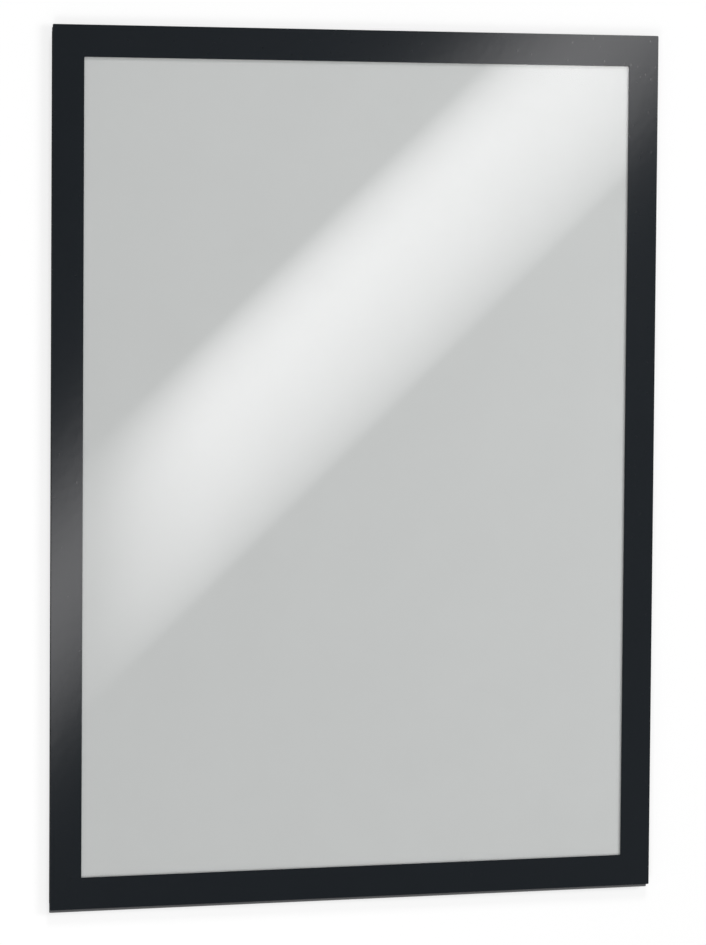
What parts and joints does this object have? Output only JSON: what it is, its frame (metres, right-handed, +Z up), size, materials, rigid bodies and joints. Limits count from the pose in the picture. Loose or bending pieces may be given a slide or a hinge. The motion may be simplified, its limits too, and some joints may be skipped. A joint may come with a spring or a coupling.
{
  "type": "magnetic display frame",
  "caption": "Thin upright display frame with a black border and clear window; the front leaf closes by magnets and opens about its left edge to take a sheet.",
  "frame": {"origin": "on the plane of the steel surface that the back rests on, behind the centre of the front leaf's outline", "axes": "+Z up along the long side, +X to the right seen from the front, +Y into the steel surface, so the front faces -Y"},
  "size_m": [0.3253, 0.0022, 0.4464],
  "materials": {
    "border_film": "satin",
    "clear_film": "gloss",
    "magnet_rubber": "matte",
    "rear_film": "satin",
    "panel_film": "satin",
    "hinge_tape": "satin"
  },
  "bodies": {
    "rear_leaf": {"holding_magnet_left": "magnet_rubber", "holding_magnet_right": "magnet_rubber", "holding_magnet_top": "magnet_rubber", "holding_magnet_bottom": "magnet_rubber", "rear_sheet": "rear_film", "rear_magnet_left": "magnet_rubber", "rear_magnet_right": "magnet_rubber", "rear_magnet_top": "magnet_rubber", "rear_magnet_bottom": "magnet_rubber", "backing_panel": "panel_film", "hinge_tape_rear_half": "hinge_tape", "hinge_tape_fold": "hinge_tape"},
    "front_leaf": {"hinge_tape_front_half": "hinge_tape", "front_magnet_left": "magnet_rubber", "front_magnet_right": "magnet_rubber", "front_magnet_top": "magnet_rubber", "front_magnet_bottom": "magnet_rubber", "window_film": "clear_film", "front_border": "border_film"}
  },
  "joints": [
    {"name": "front_leaf_hinge", "type": "hinge", "parent": "rear_leaf", "child": "front_leaf", "pos_m": [-0.16265, -0.00135, 0], "axis": [0, 0, -1], "range_deg": [0, 180]}
  ]
}
